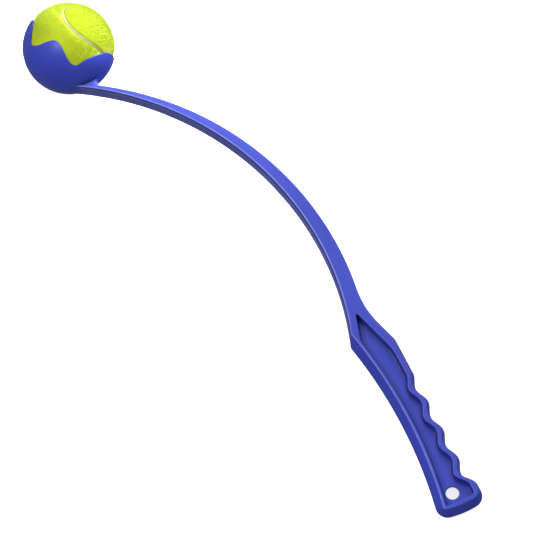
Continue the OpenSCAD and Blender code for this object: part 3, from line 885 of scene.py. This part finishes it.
def cup_shape(sizes):
    """The cup: a thin ball shell with a wavy rounded rim, blended into the arm."""
    shape = Shape()
    n, outer_rows, inner_rows = 360, 80, 36
    phi = full_turn(n)
    mid, half = CUP_IN_R + CUP_WALL / 2, CUP_WALL / 2
    ends_clear, halvings = 0.2, 50
    low, high = np.full(n, ends_clear), np.full(n, math.pi - ends_clear)
    for _ in range(halvings):
        t = (low + high) / 2
        above = -mid * np.cos(t) > rim_height(mid * np.sin(t) * np.cos(phi))
        high, low = np.where(above, t, high), np.where(above, low, t)
    rim = (low + high) / 2 - half / mid

    def at(r, t):
        out, over, up = -r * np.cos(t), r * np.sin(t) * np.cos(phi), r * np.sin(t) * np.sin(phi)
        return np.c_[CUP_C[0] + out * MOUTH[0] + over * ACROSS[0],
                     CUP_C[1] + out * MOUTH[1] + over * ACROSS[1], up]

    blend = sizes.cup_blend / MM
    held = stick_outline(HALF_W)[-HELD_POINTS:] - CUP_C
    ends = np.unwrap(np.arctan2(held[:, 1], held[:, 0]))[[0, -1]]

    def bearing(points):
        """Angle round the cup's middle from the middle of the arm's end, growing towards the fillet."""
        turn = np.arctan2(points[:, 1] - CUP_C[1], points[:, 0] - CUP_C[0]) - ends.mean()
        return (turn + math.pi) % (2 * math.pi) - math.pi

    def from_arm(points, along=1.0):
        """Distance of the cup's points from the arm's end, with the part along its curve weighted."""
        flat = CUP_OUT_R * np.maximum(np.abs(bearing(points)) - np.ptp(ends) / 2, 0.0)
        return np.hypot(along * flat, np.maximum(np.abs(points[:, 2]) - HALF_W, 0.0))

    loops = []
    for k in range(1, outer_rows + 1):
        p = at(CUP_OUT_R, rim * k / outer_rows)
        fade = min(1.0, (outer_rows - k) / SWELL_ROWS)
        by_fillet = np.clip((bearing(p) - FILLET_FROM) / FILLET_OVER, 0, 1)
        swell = SWELL * blend * fade * by_fillet * np.clip(1 - from_arm(p) / blend, 0, 1) ** 2
        p = CUP_MID + (p - CUP_MID) * (1 + swell / CUP_OUT_R)[:, None]
        # Painted shade on the cup round the arm's joint
        painted_shade = np.clip(1 - from_arm(p, CREASE_ALONG) / CREASE_REACH, 0, 1) ** CREASE_POWER
        painted_shade = painted_shade * np.clip(np.abs(p[:, 2]) - HALF_W + 1, 0, 1)
        loops.append(shape.add(p, -CREASE_DEPTH * painted_shade * by_fillet))
    for a in np.radians((20, 40, 60, 80, 100, 120, 140, 160)):
        edge = at(mid + half * math.cos(a), rim + half / mid * math.sin(a))
        # Painted shade along the rim's inner half, beside the ball
        loops.append(shape.add(edge, -RIM_SHADE * math.sin(a / 2)))
    for k in range(inner_rows, 0, -1):
        loops.append(shape.add(at(CUP_IN_R, rim * k / inner_rows)))
    shape.bridge(*loops)
    for loop, r in ((loops[0], CUP_OUT_R), (loops[-1], CUP_IN_R)):
        shape.fan(loop, shape.add([CUP_MID - np.r_[MOUTH, 0.0] * r])[0])
    return shape


def panel_shape(sizes, other):
    """One felt panel with edges that roll down to the seam, and how the nap stands on it."""
    shape = Shape()
    n, rows, crowd, roll = 240, 36, 1.7, sizes.felt_roll / MM
    path, heading = seam_path(full_turn(n))
    edge = units(path + SEAM_W / (2 * BALL_R) * np.cross(path, heading))
    flat = units(edge[:, :2])
    tilt = np.arccos(edge[:, 2])
    flip = np.diag([1.0, -1.0, -1.0]) if other else np.eye(3)
    heights, shares = [], []

    def ring(share, r):
        a = tilt * share
        return np.c_[flat * np.sin(a)[:, None], np.cos(a)] * np.reshape(r, (-1, 1))

    def place(points, height, share):
        p = to_ball(points @ flip.T)
        covered = in_cup(p)
        heights.append(height * (1 - PRESSED * covered))
        shares.append(share * (1 - THINNED * covered))
        return shape.add(p)

    loops = []
    for k in range(rows):
        p = ring(1 - (1 - (k + 1) / rows) ** crowd, 1.0)
        gap = np.arccos(np.clip((p @ edge.T).max(1), -1, 1)) * BALL_R
        gap = np.minimum(gap, roll) if k < rows - 1 else np.zeros(n)
        r = BALL_R - roll + np.sqrt(np.maximum(roll ** 2 - (roll - gap) ** 2, 0))
        loops.append(place(p * r[:, None], 0.8 + 0.2 * gap / roll, np.ones(n)))
    for share in (1.0, 0.8, 0.5, 0.2):
        loops.append(place(ring(share, CORE_R), np.zeros(n), np.zeros(n)))
    shape.bridge(*loops)
    for loop, r, nap in ((loops[0], BALL_R, np.ones(1)), (loops[-1], CORE_R, np.zeros(1))):
        shape.fan(loop, place(np.array([[0, 0, r]]), nap, nap)[0])
    return shape, np.concatenate(heights), np.concatenate(shares)


def seam_shape():
    """The seam strip, slightly crowned, tucked under both felt edges."""
    shape = Shape()
    path, heading = seam_path(full_turn(480))
    side = np.cross(path, heading)
    reach = (SEAM_W / 2 + SEAM_TUCK) / BALL_R
    section = [(k, BALL_R - SEAM_DROP - SEAM_CROWN * k * k) for k in np.linspace(-1, 1, 9)]
    section += [(1.0, CORE_R), (0.0, CORE_R), (-1.0, CORE_R)]
    loops = [shape.add(to_ball(units(path + k * reach * side) * r)) for k, r in section]
    shape.bridge(*loops, loops[0])
    return shape


# Operators


class BALLLAUNCHER_OT_stick(bpy.types.Operator):
    """Make the moulded handle and arm"""

    bl_idname = "ball_launcher.stick"
    bl_label = "Handle and arm"

    def execute(self, context):
        sizes = context.scene.launcher_moulding
        plastic = bpy.data.materials.get("moulded_plastic") or moulded_plastic(sizes)
        ob = even_normals(make_object("moulded_stick", stick_shape(sizes).mesh("moulded_stick"), plastic))
        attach(ob, "launcher")
        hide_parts("throwing_arm", "handle_rim", "handle_web")
        return {"FINISHED"}


class BALLLAUNCHER_OT_cup(bpy.types.Operator):
    """Make the moulded cup"""

    bl_idname = "ball_launcher.cup"
    bl_label = "Cup"

    def execute(self, context):
        sizes = context.scene.launcher_moulding
        plastic = bpy.data.materials.get("moulded_plastic") or moulded_plastic(sizes)
        ob = make_object("moulded_cup", cup_shape(sizes).mesh("moulded_cup"), plastic)
        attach(ob, "launcher")
        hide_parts("ball_cup")
        return {"FINISHED"}


class BALLLAUNCHER_OT_felt(bpy.types.Operator):
    """Make the two napped felt panels"""

    bl_idname = "ball_launcher.felt"
    bl_label = "Felt panels"

    def execute(self, context):
        sizes = context.scene.launcher_ball
        felt = napped_felt(sizes)
        tree = nap_tree()
        for name, other, seed in (("napped_panel_a", False, 3), ("napped_panel_b", True, 8)):
            shape, heights, shares = panel_shape(sizes, other)
            me = shape.mesh(name)
            if len(me.vertices) != len(heights):
                raise RuntimeError(f"{name}: points were merged, so its nap would be misplaced")
            for key, values in (("nap_height", heights), ("nap_share", shares)):
                me.attributes.new(key, "FLOAT", "POINT").data.foreach_set("value", values.astype(np.float32))
            ob = grow_nap(make_object(name, me, felt), tree, sizes, seed, felt)
            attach(ob, "ball")
            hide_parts("felt_panel_b" if other else "felt_panel_a")
        return {"FINISHED"}


class BALLLAUNCHER_OT_seam(bpy.types.Operator):
    """Make the seam between the felt panels"""

    bl_idname = "ball_launcher.seam"
    bl_label = "Seam"

    def execute(self, context):
        cement = seam_rubber(context.scene.launcher_ball)
        ob = make_object("seam_strip", seam_shape().mesh("seam_strip"), cement)
        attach(ob, "ball")
        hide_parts("felt_seam")
        return {"FINISHED"}


class BALLLAUNCHER_OT_core(bpy.types.Operator):
    """Dress the two halves of the ball's rubber core"""

    bl_idname = "ball_launcher.core"
    bl_label = "Core halves"

    def execute(self, context):
        rubber = core_rubber()
        for name in ("ball_core_half_a", "ball_core_half_b"):
            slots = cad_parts[name].data.materials
            slots.clear()
            slots.append(rubber)
        return {"FINISHED"}


class BALLLAUNCHER_OT_stage(bpy.types.Operator):
    """Make the floor, the lights and the camera"""

    bl_idname = "ball_launcher.stage"
    bl_label = "Stage"

    def execute(self, context):
        sizes = context.scene.launcher_stage
        scene = context.scene
        low = Vector((*(CUP_C * MM), -CUP_OUT_R * MM))
        rest = Vector((-BUTT_X * MM, 0.0, -HALF_W * MM))
        along = low - rest
        across = Vector((-along.y, along.x, 0.0)).normalized()
        up = along.cross(across).normalized()
        up = up if up.z > 0 else -up
        gap, reach = 0.0012, 12.0
        floor = bpy.data.meshes.new("floor")
        bm = bmesh.new()
        bmesh.ops.create_circle(bm, cap_ends=True, segments=64, radius=reach)
        bm.to_mesh(floor)
        bm.free()
        level = up.to_track_quat("Z", "Y").to_matrix().to_4x4()
        floor.transform(Matrix.Translation((low + rest) / 2 - up * gap) @ level)
        ground = make_object("floor", floor, pale_floor(sizes))
        ground.visible_diffuse = ground.visible_glossy = ground.visible_shadow = False

        middle = Vector((0.22, 0.03, 0.0))
        ball = Vector((BALL_C[0], BALL_C[1], 0.0)) * MM
        lights = (
            ("key_light", ball, (0.32, 0.5, 0.06), 0.3, sizes.key_power, math.radians(26)),
            ("top_light", middle, (0.08, 1.36, 0.83), 1.0, sizes.top_power, math.pi),
            ("accent_light", middle, (-0.95, 0.36, 1.5), 0.2, sizes.accent_power, math.pi),
        )
        for name, aim, (right, above, back), size, power, spread in lights:
            data = bpy.data.lights.new(name, "AREA")
            data.shape, data.size, data.energy, data.spread = "DISK", size, power, spread
            lamp = bpy.data.objects.new(name, data)
            where = aim + VIEW_RIGHT * right + VIEW_UP * above + VIEW_BACK * back
            lamp.location = where
            lamp.visible_camera = False
            lamp.rotation_euler = (aim - where).to_track_quat("-Z", "Y").to_euler()
            scene.collection.objects.link(lamp)
        world = bpy.data.worlds.new("even_light")
        world.use_nodes = True
        tree = world.node_tree
        bright = (VIEW_RIGHT * 0.1 + VIEW_UP * 0.72 + VIEW_BACK * 0.68).normalized()
        around = add_node(tree, "ShaderNodeTexCoord").outputs["Generated"]
        facing = add_node(tree, "ShaderNodeVectorMath", {0: around, 1: bright}, operation="DOT_PRODUCT")
        dim = 0.24 * sizes.sky
        glow = ranged(facing.outputs["Value"], -0.3, 0.95, dim, sizes.sky)
        feed(tree.nodes["Background"], {"Color": (1.0, 1.0, 1.0, 1.0), "Strength": glow})
        scene.world = world
        scene.view_settings.view_transform = "Standard"

        data = bpy.data.cameras.new("camera")
        data.sensor_width, data.lens = 36.0, sizes.lens
        distance = sizes.lens / data.sensor_width * PICTURE * PIXEL
        data.clip_start, data.clip_end = 0.1, 200.0
        cam = bpy.data.objects.new("camera", data)
        turn = Matrix((VIEW_RIGHT, VIEW_UP, VIEW_BACK)).transposed()
        cam.matrix_world = Matrix.Translation(VIEW_MIDDLE + VIEW_BACK * distance) @ turn.to_4x4()
        scene.collection.objects.link(cam)
        scene.camera = cam
        return {"FINISHED"}


class BALLLAUNCHER_PT_pieces(bpy.types.Panel):
    """Pieces of the launcher and their sizes"""

    bl_label = "Launcher"
    bl_space_type = "VIEW_3D"
    bl_region_type = "UI"
    bl_category = "Launcher"

    def draw(self, context):
        for name in GROUPS:
            group, box = getattr(context.scene, name), self.layout.box()
            for key in group.__annotations__:
                box.prop(group, key)
        for op in OPERATORS:
            self.layout.operator(op.bl_idname)


GROUPS = {
    "launcher_moulding": MouldingSizes,
    "launcher_ball": BallSizes,
    "launcher_stage": StageSizes,
}
OPERATORS = (
    BALLLAUNCHER_OT_stage, BALLLAUNCHER_OT_stick, BALLLAUNCHER_OT_cup, BALLLAUNCHER_OT_core,
    BALLLAUNCHER_OT_seam, BALLLAUNCHER_OT_felt,
)


def register():
    for cls in (*GROUPS.values(), *OPERATORS, BALLLAUNCHER_PT_pieces):
        bpy.utils.register_class(cls)
    for key, cls in GROUPS.items():
        setattr(bpy.types.Scene, key, bpy.props.PointerProperty(type=cls))


def unregister():
    for key in GROUPS:
        delattr(bpy.types.Scene, key)
    for cls in reversed((*GROUPS.values(), *OPERATORS, BALLLAUNCHER_PT_pieces)):
        bpy.utils.unregister_class(cls)


def main():
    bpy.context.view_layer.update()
    register()
    bpy.ops.ball_launcher.stage()
    bpy.ops.ball_launcher.stick()
    bpy.ops.ball_launcher.cup()
    bpy.ops.ball_launcher.core()
    bpy.ops.ball_launcher.seam()
    bpy.ops.ball_launcher.felt()
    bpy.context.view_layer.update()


if __name__ == "__main__":
    main()
